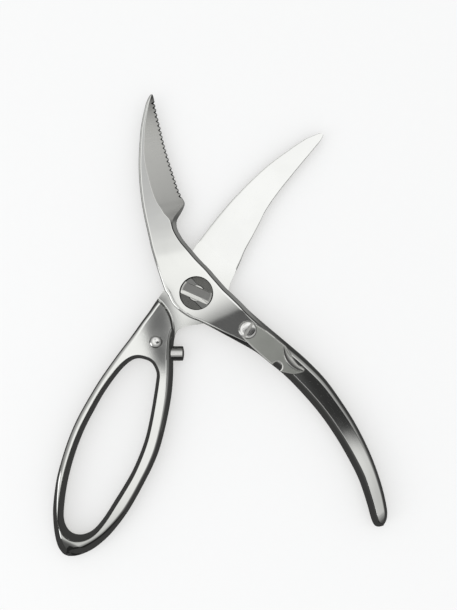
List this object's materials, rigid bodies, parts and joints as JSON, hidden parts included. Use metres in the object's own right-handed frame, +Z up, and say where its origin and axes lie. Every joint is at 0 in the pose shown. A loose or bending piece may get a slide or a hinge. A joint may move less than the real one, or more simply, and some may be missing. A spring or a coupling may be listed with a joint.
{
  "type": "poultry shears",
  "caption": "Take-apart all-steel poultry shears with curved blades, a toothed edge, an open handle with a latch and a closed finger-loop handle.",
  "frame": {"origin": "pivot axis where it meets the plane that the shears lie on", "axes": "+Z up along the pivot axis, away from the resting plane; +Y towards the blade tips; +X to the right seen from above, towards the open handle"},
  "size_m": [0.1673, 0.2314, 0.0137],
  "materials": {
    "front_steel": "satin-ground forged stainless steel",
    "rear_steel": "satin-ground forged stainless steel",
    "stud_steel": "fine matt turned steel with a bright chamfer",
    "latch_steel": "matt stamped steel with bright edges",
    "polished_steel": "polished turned steel",
    "spring_steel": "drawn spring wire"
  },
  "bodies": {
    "loop_half": {"rear_half": "rear_steel", "pivot_stud": "stud_steel", "catch_stud": "polished_steel", "buffer_spring": "spring_steel", "buffer_keeper_pin": "polished_steel"},
    "open_half": {"front_half": "front_steel", "latch_screw": "polished_steel", "latch_washer": "spring_steel"},
    "latch": {"latch_lever": "latch_steel"},
    "buffer": {"buffer_plunger": "polished_steel"}
  },
  "joints": [
    {"name": "pivot_hinge", "type": "hinge", "parent": "loop_half", "child": "open_half", "pos_m": [0, 0, 0.005], "axis": [0, 0, -1], "range_deg": [-21, 51]},
    {"name": "latch_hinge", "type": "hinge", "parent": "open_half", "child": "latch", "pos_m": [0.02564, -0.01829, 0.0111], "axis": [0, 0, -1], "range_deg": [0, 96]},
    {"name": "buffer_slide", "type": "slide", "parent": "loop_half", "child": "buffer", "axis": [-1, 0, 0], "range_m": [0, 0.0016], "stiffness_N_per_m": 800, "springref_m": -0.002, "deforming": ["buffer_spring"]}
  ]
}
